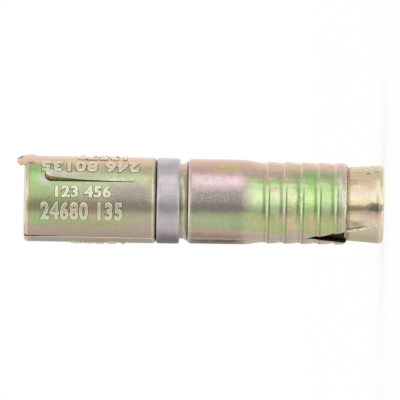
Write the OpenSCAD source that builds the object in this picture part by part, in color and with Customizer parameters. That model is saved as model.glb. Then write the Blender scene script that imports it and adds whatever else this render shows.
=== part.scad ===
// Sleeve-type expansion anchor without its bolt, standing on the flat end of its cone nut.
// The axis is Z, and Z = 0 is the flat end of the nut. A bolt goes in from the top and
// draws the nut into the slotted sleeve. Directions round the axis are degrees from +X.

/* [Anchor] */
// Outside diameter of the extension sleeve and the ring, the same as the drill for the hole
anchor_d = 9.5; // [8.8:0.1:12]

/* [Extension sleeve] */
// Length of the extension sleeve
extension_length = 14.65; // [14:0.05:40]
// Sheet thickness of the extension sleeve
extension_sheet = 0.5; // [0.4:0.01:0.6]
// Radius of the rounded outer edge at each end
extension_edge_r = 0.42; // [0.1:0.01:0.45]

/* [Seams] */
// Direction of both rolled seams, and of the first V slot
seam_direction = -150; // [-179:1:-100]
// Width of a closed seam
seam_gap = 0.04; // [0.02:0.01:0.1]
// Width of the extension sleeve's seam at its open mouth
seam_mouth_gap = 0.14; // [0.1:0.01:0.3]
// Length over which the extension sleeve's seam closes
seam_closing_length = 6.6; // [2:0.1:10]

/* [Barb] */
// Length of the lanced strip that keeps the anchor from turning
barb_length = 9.8; // [6:0.1:10.5]
// Distance of the strip's free end from the mouth
barb_inset = 2.35; // [2:0.05:3]
// Direction of the cut along the strip's free edge
barb_cut_direction = -64.5; // [-75:0.5:-60]
// Width of the strip at its free end, in degrees round the axis
barb_start_width = 17.5; // [12:0.5:20]
// Width of the strip where the cut runs out, in degrees round the axis
barb_end_width = 8.5; // [6:0.5:11]
// Angle by which the free end is bent outwards
barb_lift = 38; // [20:1:45]

/* [Tongue] */
// Directions between which the tongue stands on the mouth's edge
tongue_from = -35; // [-40:1:-25]
tongue_to = 10; // [0:1:20]
// Reach of the tongue beyond the mouth
tongue_reach = 0.85; // [0.5:0.05:1.5]
// Length of the tongue's root, inside the sleeve's own length
tongue_root = 1.45; // [1:0.05:1.8]
// Height of the tongue's root above the sleeve's surface
tongue_raise = 0.14; // [0.05:0.01:0.2]
// Drop of the tongue's tip below the sleeve's surface
tongue_drop = 0.24; // [0.1:0.01:0.3]

/* [Compression ring] */
// Length of the plastic ring
ring_length = 2.6; // [2:0.05:5]
// Radius of the ring's outer edges
ring_edge_r = 0.26; // [0.1:0.01:0.4]
// Radial clearance between the ring and the neck inside it
ring_clearance = 0.05; // [0.03:0.01:0.1]

/* [Expansion sleeve] */
// Radial clearance between the plain body and the drilled hole
body_clearance = 0.05; // [0.02:0.01:0.15]
// Radial clearance between the neck and the extension sleeve that it slides in
neck_clearance = 0.075; // [0.05:0.005:0.2]
// Sheet thickness of the expansion sleeve
expansion_sheet = 0.35; // [0.3:0.01:0.38]
// Length of neck that shows between the ring and the shoulder
neck_shown = 0.34; // [0.1:0.01:3]
// Length of neck inside the extension sleeve
neck_engagement = 2.5; // [1:0.1:5]
// Length of the curved shoulder between the neck and the plain body
shoulder_length = 0.97; // [0.8:0.01:1.5]
// Length of the plain body
plain_length = 5.53; // [3:0.01:12]
// Length over which the plain body narrows to the ridged end
waist_length = 2.67; // [1.5:0.01:4]
// Length over which the slotted end is rounded in
end_round_length = 0.75; // [0.4:0.01:0.9]
// Thickness that the rounding leaves at the sleeve's edge
end_land = 0.06; // [0.03:0.01:0.1]
// Length of the last ridge's flat top
end_top = 0.38; // [0.1:0.01:0.6]

/* [Ridges] */
// Depth of the valleys between the ridges, below the plain body
valley_depth = 0.29; // [0.2:0.01:0.35]
// Number of ridges pressed into the sheet
ridge_count = 5; // [3:1:7]
// Distance from one ridge to the next
ridge_pitch = 1.9; // [1.88:0.01:2.4]
// Height of a ridge
ridge_height = 0.135; // [0.05:0.005:0.2]
// Length of a ridge's steep side, which faces the neck
ridge_rise = 0.3; // [0.2:0.01:0.4]
// Length of a ridge's flat top
ridge_top = 0.65; // [0.4:0.01:0.7]
// Length of a ridge's gentle side
ridge_fall = 0.85; // [0.5:0.01:0.9]

/* [Slots and keys] */
// Number of V slots in the ridged end, each with a key of the nut in it
slot_count = 2; // [1:1:3]
// Length of a slot from the sleeve's end to the point of its V
slot_length = 4.6; // [3:0.1:6]
// Angle between a slot's edge and its middle line
slot_half_angle = 15.5; // [10:0.5:17]
// Sideways play of a key in its slot
key_play = 0.24; // [0.1:0.01:0.3]
// Gap left at the flank that the key lies against
key_touch_gap = 0.02; // [0.01:0.01:0.04]

/* [Cone nut] */
// Length of the nut
nut_length = 9.2; // [8:0.1:12]
// Length of nut that shows beyond the slotted sleeve
nut_shown = 4.05; // [3:0.05:5]
// Angle between the nut's side and its axis
nut_half_angle = 4.13; // [2:0.01:6]
// Radial clearance between the nut and the sleeve's end
seat_clearance = 0.02; // [0.01:0.01:0.05]
// Radius of the rounded edge at the nut's flat end
nut_edge_r = 0.45; // [0.2:0.01:0.6]
// Bore of the tapped hole, the minor diameter of a quarter-inch coarse thread
thread_minor_d = 5.1; // [4.5:0.05:5.5]
// Depth of the chamfer at each end of the tapped hole
thread_chamfer = 0.5; // [0.2:0.05:0.6]

/* [Hidden] */
$fn = 96;
// Steps in the quarter circle of a rounded edge, and past a face for a clean cut
edge_steps = 6;
past = 1;
quarter_turn = 90;
full_turn = 360;

// Distances of the expansion sleeve's stretches from the start of its shoulder
plain_from = shoulder_length;
waist_from = plain_from + plain_length;
ridges_from = waist_from + waist_length;
end_round_from = ridges_from + (ridge_count - 1) * ridge_pitch + ridge_rise + end_top;
expansion_length = end_round_from + end_round_length;

// Heights along the axis, from the nut's flat end upwards
expansion_end_z = nut_shown;
shoulder_z = expansion_end_z + expansion_length;
ring_z = shoulder_z + neck_shown;
extension_z = ring_z + ring_length;
mouth_z = extension_z + extension_length;
neck_top_z = extension_z + neck_engagement;
slot_point_z = expansion_end_z + slot_length;

// Radii that the pieces share
extension_r = anchor_d / 2;
extension_bore_r = extension_r - extension_sheet;
neck_r = extension_bore_r - neck_clearance;
body_r = extension_r - body_clearance;
valley_r = body_r - valley_depth;
crest_r = valley_r + ridge_height;
sleeve_end_bore_r = valley_r - expansion_sheet;
nut_seat_r = sleeve_end_bore_r - seat_clearance;
nut_end_r = nut_seat_r + nut_shown * tan(nut_half_angle);
nut_tip_r = nut_end_r - nut_length * tan(nut_half_angle);
reach_r = anchor_d;

// Barb
barb_steps = 14;
barb_top_z = mouth_z - barb_inset;
barb_bottom_z = barb_top_z - barb_length;
barb_slit = 0.07;
barb_slit_width = barb_slit / extension_r * full_turn / (2 * PI);
barb_hinge_land = 1.5;
barb_root_lap = 6;
barb_end_lap = 0.3;
barb_skin = 0.02;
barb_nose_length = 0.9;
barb_nose_width = 0.45;

// A smooth step from 0 to 1 as t goes from 0 to 1
function ease(t) = let(s = max(0, min(1, t))) s * s * (3 - 2 * s);

// Height of a ridge at distance s from the foot of its steep side
function ridge_lift(s) =
    s < ridge_rise ? ease(s / ridge_rise)
    : 1 - ease((s - ridge_rise - ridge_top) / ridge_fall);

// Distances at which the ridged profile needs a point, for one ridge
ridge_stations = concat(
    [for (t = [0, 0.25, 0.5, 0.75, 1]) t * ridge_rise],
    [for (t = [0, 0.25, 0.5, 0.75]) ridge_rise + ridge_top + t * ridge_fall]);

// Outer radius of the rounded end at fraction t of its length
function end_r(t) =
    let(edge_r = sleeve_end_bore_r + end_land)
    edge_r + (crest_r - edge_r) * sqrt(1 - t * t);

// Outer radius of the expansion sleeve at distance w from the start of its shoulder
function sleeve_r(w) =
    w < plain_from ? neck_r + (body_r - neck_r) * ease(w / shoulder_length)
    : w < ridges_from ? body_r - (body_r - valley_r) * ease((w - waist_from) / waist_length)
    : w > end_round_from ? end_r(min(1, (w - end_round_from) / end_round_length))
    : let(i = min(ridge_count - 1, floor((w - ridges_from) / ridge_pitch)))
        valley_r + ridge_height * ridge_lift(w - ridges_from - i * ridge_pitch);

// Bore radius at the same distance: the sheet keeps its thickness up to the rounded end
function sleeve_bore_r(w) =
    w < ridges_from ? sleeve_r(w) - expansion_sheet
    : max(sleeve_end_bore_r, sleeve_r(w) - expansion_sheet);

// All distances at which the expansion sleeve's profile has a point
sleeve_stations = concat(
    [for (t = [0:0.125:1]) t * shoulder_length],
    [for (t = [0:0.125:0.875]) waist_from + t * waist_length],
    [for (i = [0:ridge_count - 2], s = ridge_stations) ridges_from + i * ridge_pitch + s],
    [for (t = [0, 0.25, 0.5, 0.75, 1]) ridges_from + (ridge_count - 1) * ridge_pitch + t * ridge_rise],
    [for (i = [0:edge_steps]) end_round_from + end_round_length * sin(quarter_turn * i / edge_steps)]);

// Quarter circle of radius r round a centre, from one angle on, as a list of points
function quarter_arc(centre, r, from_angle) =
    [for (i = [0:edge_steps]) let(a = from_angle + quarter_turn * i / edge_steps)
        centre + r * [cos(a), sin(a)]];

// A prism along the direction given, from the axis outwards, over a flat outline
// whose first coordinate runs round the axis and whose second runs along it
module radial_prism(direction, reach) {
    rotate([0, 0, direction])
        rotate([quarter_turn, 0, quarter_turn])
            linear_extrude(reach)
                children();
}

// Tube section with both outer edges rounded, between two heights
module rounded_tube(inner_r, outer_r, low_z, high_z, edge_r) {
    rotate_extrude()
        polygon(concat(
            [[inner_r, low_z]],
            quarter_arc([outer_r - edge_r, low_z + edge_r], edge_r, -quarter_turn),
            quarter_arc([outer_r - edge_r, high_z - edge_r], edge_r, 0),
            [[inner_r, high_z]]));
}

// The closing seam of the extension sleeve: narrow, and wider towards the mouth
module extension_seam() {
    closed_z = mouth_z - seam_closing_length;
    radial_prism(seam_direction, reach_r)
        polygon([
            [-seam_gap / 2, extension_z - past],
            [seam_gap / 2, extension_z - past],
            [seam_gap / 2, closed_z],
            [seam_mouth_gap / 2, mouth_z + past],
            [-seam_mouth_gap / 2, mouth_z + past],
            [-seam_gap / 2, closed_z]]);
}

// Width of the barb in degrees at fraction t of its length from the free end,
// and the share of that width which its rounded free end leaves
function barb_width(t) = barb_start_width + (barb_end_width - barb_start_width) * t;
function barb_share(t) =
    let(u = min(1, t * barb_length / barb_nose_length))
    barb_nose_width + (1 - barb_nose_width) * sqrt(1 - (1 - u) * (1 - u));
function barb_hinge(t) = barb_cut_direction + barb_width(t);

// Window in the extension sleeve that the strip was lanced from
module barb_window() {
    middle = barb_cut_direction + barb_start_width / 2;
    function across(angle) = extension_r * sin(angle - middle);
    radial_prism(middle, reach_r)
        polygon([
            [across(barb_cut_direction - barb_slit_width), barb_bottom_z],
            [across(barb_hinge(1) + barb_hinge_land), barb_bottom_z],
            [across(barb_hinge(0) + barb_hinge_land), barb_top_z + barb_slit],
            [across(barb_cut_direction - barb_slit_width), barb_top_z + barb_slit]]);
}

// A point of the strip, bent outwards about the hinge. Past t = 1 the strip runs on in the wall.
function barb_point(t, r, back) =
    let(h = barb_hinge(t),
        lift = barb_lift * max(0, 1 - t),
        hinge = extension_r * [cos(h), sin(h)],
        flat = r * [cos(h - back), sin(h - back)] - hinge)
    concat(hinge + [flat[0] * cos(lift) - flat[1] * sin(lift),
                    flat[0] * sin(lift) + flat[1] * cos(lift)],
           [barb_top_z - t * barb_length]);

// A point of the strip's root, inside the wall beyond the hinge
function root_point(t, r) =
    let(a = barb_hinge(t) + barb_root_lap)
    [r * cos(a), r * sin(a), barb_top_z - t * barb_length];

// One section of the strip, from its root along the outside and back along the inside
function barb_section(t) =
    let(w = barb_width(t) * barb_share(t),
        outer = extension_r - barb_skin,
        inner = extension_bore_r + barb_skin)
    concat([root_point(t, outer)],
        [for (s = [0, 1 / 3, 2 / 3, 1]) barb_point(t, outer, w * s)],
        [for (s = [1, 2 / 3, 1 / 3, 0]) barb_point(t, inner, w * s)],
        [root_point(t, inner)]);

// The lanced and twisted strip: bent out most at its free end, flush where the cut ends
module barb() {
    stations = concat(
        [for (t = [0.01, 0.025, 0.045]) t],
        [for (i = [1:barb_steps]) i / barb_steps],
        [1 + barb_end_lap / barb_length]);
    sections = [for (t = concat([0], stations)) barb_section(t)];
    last = len(sections) - 1;
    count = len(sections[0]);
    polyhedron(
        points = [for (section = sections, p = section) p],
        faces = concat(
            [for (j = [0:count / 2 - 2]) [j, j + 1, count - 2 - j, count - 1 - j]],
            [for (i = [0:last - 1], j = [0:count - 1], half = [0, 1])
                let(a = i * count + j, b = i * count + (j + 1) % count)
                half == 0 ? [a, a + count, b + count] : [a, b + count, b]],
            [for (j = [0:count / 2 - 2]) let(k = last * count)
                [k + count - 1 - j, k + count - 2 - j, k + j + 1, k + j]]));
}

// The tongue on the mouth's edge: raised at its root, dropped at its tip, one corner cut
module tongue() {
    root_z = mouth_z - tongue_root;
    ramp = tongue_raise * 2;
    outer = extension_r;
    intersection() {
        rotate([0, 0, tongue_from])
            rotate_extrude(angle = tongue_to - tongue_from)
                polygon([
                    [outer - extension_sheet / 2, root_z],
                    [outer + tongue_raise, root_z + ramp],
                    [outer + tongue_raise, mouth_z - ramp],
                    [outer, mouth_z + ramp],
                    [outer - tongue_drop, mouth_z + tongue_reach],
                    [outer - tongue_drop - extension_sheet / 2, mouth_z + tongue_reach],
                    [outer - extension_sheet / 2, mouth_z + ramp]]);
        tongue_outline();
    }
}

// Outline of the tongue seen from outside: its lower corner is cut off
module tongue_outline() {
    middle = (tongue_from + tongue_to) / 2;
    half = extension_r;
    cut_edge = extension_r * sin(tongue_from - middle);
    cut_size = tongue_reach * 0.6;
    radial_prism(middle, reach_r)
        polygon([
            [-half, mouth_z - tongue_root - past],
            [half, mouth_z - tongue_root - past],
            [half, mouth_z + tongue_reach + past],
            [cut_edge + cut_size, mouth_z + tongue_reach + past],
            [cut_edge + cut_size, mouth_z + tongue_reach],
            [cut_edge, mouth_z + tongue_reach - cut_size],
            [cut_edge, mouth_z],
            [-half, mouth_z]]);
}

// Upper sleeve, rolled from sheet, with its seam, lanced barb and tongue
module extension_sleeve() {
    color([0.76, 0.71, 0.55]) {
        difference() {
            rounded_tube(extension_bore_r, extension_r, extension_z, mouth_z, extension_edge_r);
            extension_seam();
            barb_window();
        }
        barb();
        tongue();
    }
}

// Plastic ring that is crushed when the anchor is set, so that it pulls the work tight
module compression_ring() {
    color([0.7, 0.68, 0.73])
        rounded_tube(neck_r + ring_clearance, extension_r, ring_z, extension_z, ring_edge_r);
}

// Outline of a V with its point up, from below the sleeve's end to its point
module slot_outline(point_z, from_z) {
    half_width = (point_z - from_z) * tan(slot_half_angle);
    polygon([[0, point_z], [-half_width, from_z], [half_width, from_z]]);
}

// Section of the rolled sheet: neck, shoulder, plain body, waist and pressed ridges
module expansion_section() {
    last = len(sleeve_stations) - 1;
    polygon(concat(
        [[neck_r, neck_top_z]],
        [for (w = sleeve_stations) [sleeve_r(w), shoulder_z - w]],
        [for (i = [last:-1:0]) [sleeve_bore_r(sleeve_stations[i]), shoulder_z - sleeve_stations[i]]],
        [[neck_r - expansion_sheet, neck_top_z]]));
}

// Lower sleeve, rolled from sheet, with a seam that runs into the first of its V slots
module expansion_sleeve() {
    color([0.72, 0.76, 0.5])
        difference() {
            rotate_extrude()
                expansion_section();
            radial_prism(seam_direction, reach_r)
                translate([-seam_gap / 2, slot_point_z - seam_gap])
                    square([seam_gap, neck_top_z - slot_point_z + past]);
            for (i = [0:slot_count - 1])
                radial_prism(seam_direction + full_turn * i / slot_count, reach_r)
                    slot_outline(slot_point_z, expansion_end_z - past);
        }
}

// Solid of the nut before it is tapped: a cone with a rounded edge at its flat end
module nut_cone() {
    rotate_extrude()
        polygon(concat(
            [[0, 0]],
            quarter_arc([nut_end_r - nut_edge_r, nut_edge_r], nut_edge_r, -quarter_turn),
            [[nut_tip_r, nut_length], [0, nut_length]]));
}

// V-shaped keys: what the cone leaves of the blank's round outside, inside the V slots
module nut_keys() {
    shrink = key_play / 2 / sin(slot_half_angle);
    point_z = slot_point_z - shrink;
    turn = asin((key_play / 2 - key_touch_gap) / nut_end_r);
    intersection() {
        rotate_extrude()
            polygon(concat(
                [[0, 0]],
                quarter_arc([nut_end_r - nut_edge_r, nut_edge_r], nut_edge_r, -quarter_turn),
                [[nut_end_r, point_z + past], [0, point_z + past]]));
        for (i = [0:slot_count - 1])
            radial_prism(seam_direction + turn + full_turn * i / slot_count, reach_r)
                slot_outline(point_z, -past);
    }
}

// Tapered nut with its keys, drilled for the thread and chamfered at both ends
module cone_nut() {
    bore_r = thread_minor_d / 2;
    chamfer = min(thread_chamfer, (nut_tip_r - bore_r) / 2);
    color([0.84, 0.78, 0.62])
        difference() {
            union() {
                nut_cone();
                nut_keys();
            }
            translate([0, 0, -past])
                cylinder(r = bore_r, h = nut_length + 2 * past);
            translate([0, 0, -past])
                cylinder(r1 = bore_r + chamfer + past, r2 = bore_r, h = chamfer + past);
            translate([0, 0, nut_length - chamfer])
                cylinder(r1 = bore_r, r2 = bore_r + chamfer + past, h = chamfer + past);
        }
}

extension_sleeve();
compression_ring();
expansion_sleeve();
cone_nut();
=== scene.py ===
"""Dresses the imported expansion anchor: fine meshes of its four pieces, their finishes and a plain studio.

The anchor stands on its nut, with its axis along Z. Pieces are modelled in millimetres and turned
into metres when they are finished. Directions round the axis are degrees from +X.
"""

import logging
import math
from dataclasses import dataclass, field
from enum import Enum
from typing import Any, Callable, Iterable, Sequence

import bpy
from mathutils import Matrix, Vector, noise

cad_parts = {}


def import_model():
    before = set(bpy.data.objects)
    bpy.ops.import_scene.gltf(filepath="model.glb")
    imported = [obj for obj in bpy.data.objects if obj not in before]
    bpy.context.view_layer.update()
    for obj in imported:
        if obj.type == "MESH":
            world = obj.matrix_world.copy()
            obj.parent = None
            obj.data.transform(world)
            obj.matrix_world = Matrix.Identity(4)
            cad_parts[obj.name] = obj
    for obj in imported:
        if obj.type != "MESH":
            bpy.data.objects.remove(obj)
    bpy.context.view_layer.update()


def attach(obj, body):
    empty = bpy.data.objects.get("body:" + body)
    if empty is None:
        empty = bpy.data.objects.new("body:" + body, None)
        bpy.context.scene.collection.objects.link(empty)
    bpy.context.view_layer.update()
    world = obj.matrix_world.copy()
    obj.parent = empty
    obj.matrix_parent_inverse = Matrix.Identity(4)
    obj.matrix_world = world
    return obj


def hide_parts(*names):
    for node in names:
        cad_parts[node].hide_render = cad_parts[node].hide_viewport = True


log = logging.getLogger("anchor")

# Metres in a millimetre, and degrees in a full turn
MM = 0.001
FULL_TURN = 360.0
# Steps round a full turn of a finished surface
TURN_STEPS = 288
# Distance within which vertices are merged
WELD = 1e-5
# How far a cutter reaches past what it cuts
PAST = 1.0
# Smallest angle that still looks like an edge
SMOOTH_ANGLE = math.radians(32)

Pair = tuple[float, float]
Colour = tuple[float, float, float]


def ease(t: float) -> float:
    """Smooth step from 0 to 1 as t goes from 0 to 1."""
    s = max(0.0, min(1.0, t))
    return s * s * (3 - 2 * s)


def spread(start: float, end: float, steps: int) -> list[float]:
    """Evenly spaced values from start to end.

    Args:
        start: First value.
        end: Last value.
        steps: Number of equal steps.

    Returns:
        The steps + 1 values.
    """
    return [start + (end - start) * i / steps for i in range(steps + 1)]


def arc(centre: Pair, radius: float, from_angle: float, to_angle: float, steps: int) -> list[Pair]:
    """Points along an arc.

    Args:
        centre: Centre of the arc.
        radius: Radius of the arc.
        from_angle: Direction of its first point, in degrees.
        to_angle: Direction of its last point, in degrees.
        steps: Number of equal steps.

    Returns:
        The points, both ends among them.
    """
    return [(centre[0] + radius * math.cos(math.radians(a)), centre[1] + radius * math.sin(math.radians(a)))
            for a in spread(from_angle, to_angle, steps)]


def bearing(at: Vector) -> float:
    """Direction of a point from the axis, in degrees from +X."""
    return math.degrees(math.atan2(at.y, at.x))


def past_seam(at: Vector, seam: float) -> float:
    """Angle from a seam down to a point, from -180 to 180 degrees."""
    return (seam - bearing(at) + FULL_TURN / 2) % FULL_TURN - FULL_TURN / 2


def polar(radius: float, direction: float, height: float) -> Vector:
    """Point at a radius, a direction in degrees and a height."""
    turn = math.radians(direction)
    return Vector((radius * math.cos(turn), radius * math.sin(turn), height))


class Join(Enum):
    """What is made of two solids, by the name that the Boolean modifier has for it."""

    CUT = "DIFFERENCE"
    SHARE = "INTERSECT"
    ADD = "UNION"


class Bench:
    """Modelling steps that every piece is made with."""

    @staticmethod
    def deselect() -> None:
        """Leaves edit mode and deselects every object."""
        if bpy.context.object and bpy.context.object.mode != "OBJECT":
            bpy.ops.object.mode_set(mode="OBJECT")
        bpy.ops.object.select_all(action="DESELECT")

    @staticmethod
    def pick(piece: bpy.types.Object) -> None:
        """Makes one object the only selected and the active one.

        Args:
            piece: The object.
        """
        Bench.deselect()
        piece.select_set(True)
        bpy.context.view_layer.objects.active = piece

    @staticmethod
    def chain(name: str, points: Sequence[Vector]) -> bpy.types.Object:
        """Draws a chain of edges by extruding one vertex from point to point, and stays in edit mode.

        Args:
            name: Name of the new object.
            points: The chain's points, in order.

        Returns:
            The new object, with all of its vertices selected.
        """
        Bench.deselect()
        bpy.ops.mesh.primitive_plane_add(size=1.0)
        piece = bpy.context.object
        piece.name = name
        bpy.ops.object.mode_set(mode="EDIT")
        bpy.ops.mesh.merge(type="CENTER")
        bpy.ops.transform.translate(value=points[0])
        for start, end in zip(points, points[1:]):
            bpy.ops.mesh.extrude_region_move(TRANSFORM_OT_translate={"value": end - start})
        bpy.ops.mesh.select_all(action="SELECT")
        return piece

    @staticmethod
    def lathe(name: str, outline: Sequence[Pair], start: float, sweep: float, steps: int) -> bpy.types.Object:
        """Spins a closed outline round the axis.

        Args:
            name: Name of the new object.
            outline: Radius and height of the outline's points, in order.
            start: Direction in which the outline is drawn, in degrees.
            sweep: Angle to spin it through, in degrees. A full turn closes on itself.
            steps: Number of steps of the spin.

        Returns:
            The new solid.
        """
        whole = sweep >= FULL_TURN
        points = [polar(r, start, z) for r, z in outline]
        piece = Bench.chain(name, points + points[:1] if whole else points)
        if whole:
            bpy.ops.mesh.remove_doubles(threshold=WELD)
        else:
            bpy.ops.mesh.edge_face_add()
        bpy.ops.mesh.spin(steps=steps, angle=math.radians(-sweep), center=(0, 0, 0), axis=(0, 0, 1))
        Bench.close()
        return piece

    @staticmethod
    def close() -> None:
        """Merges doubles, turns every face outwards and leaves edit mode."""
        bpy.ops.mesh.select_all(action="SELECT")
        bpy.ops.mesh.remove_doubles(threshold=WELD)
        bpy.ops.mesh.normals_make_consistent(inside=False)
        bpy.ops.object.mode_set(mode="OBJECT")

    @staticmethod
    def prism(name: str, outline: Sequence[Pair], direction: float, near: float,
              far: float) -> bpy.types.Object:
        """Makes a prism that runs outwards from the axis.

        Args:
            name: Name of the new object.
            outline: Points of its section, as the distance round the axis and the height.
            direction: Direction in which the prism runs, in degrees.
            near: Distance of its inner end from the axis.
            far: Distance of its outer end from the axis.

        Returns:
            The new solid.
        """
        out = polar(1.0, direction, 0.0)
        side = polar(1.0, direction + FULL_TURN / 4, 0.0)
        up = Vector((0, 0, 1))
        piece = Bench.chain(name, [out * near + side * t + up * z for t, z in outline])
        bpy.ops.mesh.edge_face_add()
        bpy.ops.mesh.extrude_region_move(TRANSFORM_OT_translate={"value": out * (far - near)})
        Bench.close()
        return piece

    @staticmethod
    def slab(name: str, columns: int, rows: int, place: Callable[[Vector], Vector]) -> bpy.types.Object:
        """Makes a slab of square faces and gives each of its vertices a place.

        Args:
            name: Name of the new object.
            columns: Number of faces across it.
            rows: Number of faces along it.
            place: Formula that turns column, side (0 or 1) and share of the length into a place.

        Returns:
            The new solid.
        """
        slab = Bench.chain(name, [Vector((columns, 0, 0)), Vector((columns, 0, 1))])
        bpy.ops.mesh.subdivide(number_cuts=rows - 1)
        for _ in range(columns):
            bpy.ops.mesh.extrude_region_move(TRANSFORM_OT_translate={"value": (-1, 0, 0)})
        bpy.ops.mesh.select_all(action="SELECT")
        bpy.ops.mesh.extrude_region_move(TRANSFORM_OT_translate={"value": (0, 1, 0)})
        Bench.close()
        Bench.reshape(slab, place)
        Bench.pick(slab)
        bpy.ops.object.mode_set(mode="EDIT")
        Bench.close()
        return slab

    @staticmethod
    def combine(piece: bpy.types.Object, tool: bpy.types.Object, operation: Join) -> None:
        """Cuts a tool from a piece, joins it on, or keeps what both share, and deletes the tool.

        Args:
            piece: The solid that changes.
            tool: The other solid.
            operation: What is made of the two.
        """
        Bench.pick(piece)
        cut = piece.modifiers.new("combine", "BOOLEAN")
        cut.operation = operation.value
        cut.solver = "EXACT"
        cut.object = tool
        bpy.ops.object.modifier_apply(modifier=cut.name)
        bpy.data.objects.remove(tool)

    @staticmethod
    def soften(piece: bpy.types.Object, width: float, segments: int, angle: float) -> None:
        """Rounds every edge sharper than an angle.

        Args:
            piece: The object to round.
            width: Width of the rounding, in millimetres.
            segments: Number of faces across it.
            angle: Smallest angle between two faces that is rounded, in degrees.
        """
        Bench.pick(piece)
        bevel = piece.modifiers.new("soften", "BEVEL")
        bevel.width = width
        bevel.segments = segments
        bevel.limit_method = "ANGLE"
        bevel.angle_limit = math.radians(angle)
        bpy.ops.object.modifier_apply(modifier=bevel.name)

    @staticmethod
    def reshape(piece: bpy.types.Object, place: Callable[[Vector], Vector]) -> None:
        """Moves every vertex to the place that a formula gives it.

        Args:
            piece: The object.
            place: Formula that turns a vertex's place into its new one.
        """
        for vertex in piece.data.vertices:
            vertex.co = place(vertex.co)
        piece.data.update()

    @staticmethod
    def dress_faces(piece: bpy.types.Object, material: bpy.types.Material,
                    test: Callable[[Vector, Vector], bool]) -> None:
        """Gives some faces of a finished piece another finish.

        Args:
            piece: The finished object.
            material: The other finish.
            test: Says from a face's middle, in millimetres, and its normal whether it takes the finish.
        """
        piece.data.materials.append(material)
        index = len(piece.data.materials) - 1
        for face in piece.data.polygons:
            if test(face.center / MM, face.normal):
                face.material_index = index

    @staticmethod
    def finish(piece: bpy.types.Object) -> None:
        """Turns millimetres into metres, smooths the shading and leaves the object at the origin.

        Args:
            piece: The object.
        """
        Bench.pick(piece)
        piece.scale = (MM, MM, MM)
        bpy.ops.object.transform_apply(location=True, rotation=True, scale=True)
        bpy.ops.object.shade_smooth_by_angle(angle=SMOOTH_ANGLE, keep_sharp_edges=True)
        piece.select_set(False)


# Sizes

@dataclass(frozen=True)
class SharedSizes:
    """Sizes that more than one piece shares, in millimetres and degrees."""

    anchor_r: float = 4.75
    seam: float = -150.0
    seam_gap: float = 0.02
    nut_shown: float = 4.05
    expansion_length: float = 18.2
    neck_shown: float = 0.34
    ring_length: float = 2.6
    extension_length: float = 14.65
    sleeve_end_bore_r: float = 4.06
    slot_length: float = 4.6
    slot_half_angle: float = 15.5
    slot_count: int = 2

    @property
    def shoulder_z(self) -> float:
        """Height at which the expansion sleeve's shoulder starts."""
        return self.nut_shown + self.expansion_length

    @property
    def ring_z(self) -> float:
        """Height of the ring's lower face."""
        return self.shoulder_z + self.neck_shown

    @property
    def extension_z(self) -> float:
        """Height of the extension sleeve's lower end."""
        return self.ring_z + self.ring_length

    @property
    def mouth_z(self) -> float:
        """Height of the mouth."""
        return self.extension_z + self.extension_length

    @property
    def slot_point_z(self) -> float:
        """Height of the point of the V slots."""
        return self.nut_shown + self.slot_length

    def slot_direction(self, i: int, turn: float = 0.0) -> float:
        """Direction of the middle of slot i, turned on by a few degrees where that is asked."""
        return self.seam + turn + FULL_TURN * i / self.slot_count


SIZES = SharedSizes()


def rolled(name: str, outline: Sequence[Pair], radius: float) -> bpy.types.Object:
    """Spins a sheet's section from one side of the seam round to the other."""
    gap = math.degrees(SIZES.seam_gap / radius)
    return Bench.lathe(name, outline, SIZES.seam + gap / 2, FULL_TURN - gap, TURN_STEPS)


def slot_wedge(point_z: float, low: float, direction: float) -> bpy.types.Object:
    """Makes a wedge with the flanks of the V slots.

    Args:
        point_z: Height of its point.
        low: Height of its lower end.
        direction: Direction of its middle, in degrees.

    Returns:
        The new solid.
    """
    half = (point_z - low) * math.tan(math.radians(SIZES.slot_half_angle))
    outline = [(0.0, point_z), (-half, low), (half, low)]
    return Bench.prism("wedge", outline, direction, 1.0, SIZES.anchor_r * 2)


# Pieces

@dataclass
class Piece:
    """A finished piece, with the node that it stands for and its finish."""

    name: str
    node: str
    slot: str
    made: list[bpy.types.Object] = field(default_factory=list)

    def hand_over(self, material: bpy.types.Material, **special: bpy.types.Material) -> None:
        """Finishes the meshes, gives them their material and ties them to the frame.

        Args:
            material: The finish of the piece's meshes.
            special: Other finishes, by the first word of the mesh's name.
        """
        for piece in self.made:
            Bench.finish(piece)
            piece.data.materials.clear()
            piece.data.materials.append(special.get(piece.name.split("_")[0], material))
            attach(piece, "root")
        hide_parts(self.node)
        log.info("%s: %s", self.name, ", ".join(f"{p.name} {len(p.data.polygons)} faces" for p in self.made))


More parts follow.
